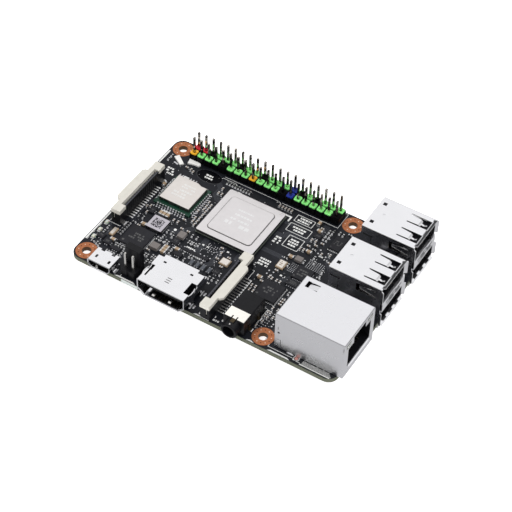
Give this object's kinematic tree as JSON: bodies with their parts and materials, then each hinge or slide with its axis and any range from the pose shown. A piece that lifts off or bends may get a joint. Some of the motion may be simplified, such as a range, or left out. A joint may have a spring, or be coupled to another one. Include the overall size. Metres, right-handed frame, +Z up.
{
  "type": "single board computer",
  "caption": "Credit-card sized computer board with a colour-coded pin header, USB, network, video, audio and power ports, ribbon connectors with sliding latches and a lift-off jumper.",
  "frame": {"origin": "centre of the four mounting holes, on the board's underside", "axes": "+Z up out of the component side, +X along the long side towards the USB and network connectors, +Y towards the pin header"},
  "size_m": [0.087, 0.0579, 0.0191],
  "materials": {
    "solder_mask": "satin",
    "copper": "satin",
    "black_plastic": "satin",
    "ivory_plastic": "satin",
    "green_plastic": "gloss",
    "red_plastic": "gloss",
    "orange_plastic": "gloss",
    "blue_plastic": "gloss",
    "gold_plate": "polished",
    "tin_plate": "polished",
    "shell_steel": "polished",
    "lid_nickel": "satin",
    "can_steel": "satin",
    "green_laminate": "satin",
    "chip_resin": "matte",
    "silicon": "polished",
    "white_ceramic": "satin",
    "crystal_case": "satin",
    "inductor_grey": "matte",
    "inductor_silver": "satin",
    "choke_grey": "satin",
    "led_lens": "satin",
    "capacitor_tan": "satin",
    "resistor_black": "satin",
    "label_white": "satin",
    "clear_plastic": "gloss"
  },
  "bodies": {
    "board": {"circuit_board": "solder_mask", "mounting_hole_rings": "copper", "gpio_header_base": "black_plastic", "gpio_header_pins": "gold_plate", "gpio_caps_green": "green_plastic", "gpio_caps_red": "red_plastic", "gpio_caps_orange": "orange_plastic", "gpio_caps_blue": "blue_plastic", "processor_substrate": "green_laminate", "processor_lid": "lid_nickel", "processor_die": "silicon", "wireless_module_board": "green_laminate", "wireless_shield": "can_steel", "wireless_chip": "chip_resin", "chip_antennas": "white_ceramic", "power_management_chip": "chip_resin", "audio_codec_chip": "chip_resin", "lan_chip": "chip_resin", "small_black_chips": "chip_resin", "memory_chips": "chip_resin", "power_inductor": "inductor_silver", "small_inductors": "inductor_grey", "common_mode_chokes": "choke_grey", "crystals": "crystal_case", "status_leds": "led_lens", "large_capacitors": "capacitor_tan", "small_capacitors": "capacitor_tan", "small_resistors": "resistor_black", "dsi_housing": "black_plastic", "dsi_contacts": "tin_plate", "csi_housing": "black_plastic", "csi_contacts": "tin_plate", "hdmi_shell": "shell_steel", "hdmi_insulator": "black_plastic", "hdmi_contacts": "gold_plate", "micro_usb_shell": "shell_steel", "micro_usb_insulator": "black_plastic", "micro_usb_contacts": "gold_plate", "audio_jack_body": "black_plastic", "audio_jack_contacts": "tin_plate", "audio_jack_label": "label_white", "usb_front_shell": "shell_steel", "usb_front_insulator": "black_plastic", "usb_front_contacts": "gold_plate", "usb_rear_shell": "shell_steel", "usb_rear_insulator": "black_plastic", "usb_rear_contacts": "gold_plate", "ethernet_shell": "shell_steel", "ethernet_insert": "black_plastic", "ethernet_contacts": "gold_plate", "ethernet_light_pipes": "clear_plastic", "jumper_header_base": "black_plastic", "jumper_header_pins": "gold_plate", "card_socket_shell": "shell_steel", "card_socket_housing": "black_plastic", "card_socket_contacts": "gold_plate"},
    "dsi_latch_body": {"dsi_latch": "ivory_plastic"},
    "csi_latch_body": {"csi_latch": "ivory_plastic"},
    "jumper_body": {"jumper_cap": "black_plastic", "jumper_clip": "tin_plate"}
  },
  "joints": [
    {"name": "dsi_latch_slide", "type": "slide", "parent": "board", "child": "dsi_latch_body", "axis": [0, 0, 1], "range_m": [0, 0.0012]},
    {"name": "csi_latch_slide", "type": "slide", "parent": "board", "child": "csi_latch_body", "axis": [0, 0, 1], "range_m": [0, 0.0012]},
    {"name": "jumper_lift", "type": "slide", "parent": "board", "child": "jumper_body", "axis": [0, 0, 1], "range_m": [0, 0.0075]}
  ]
}
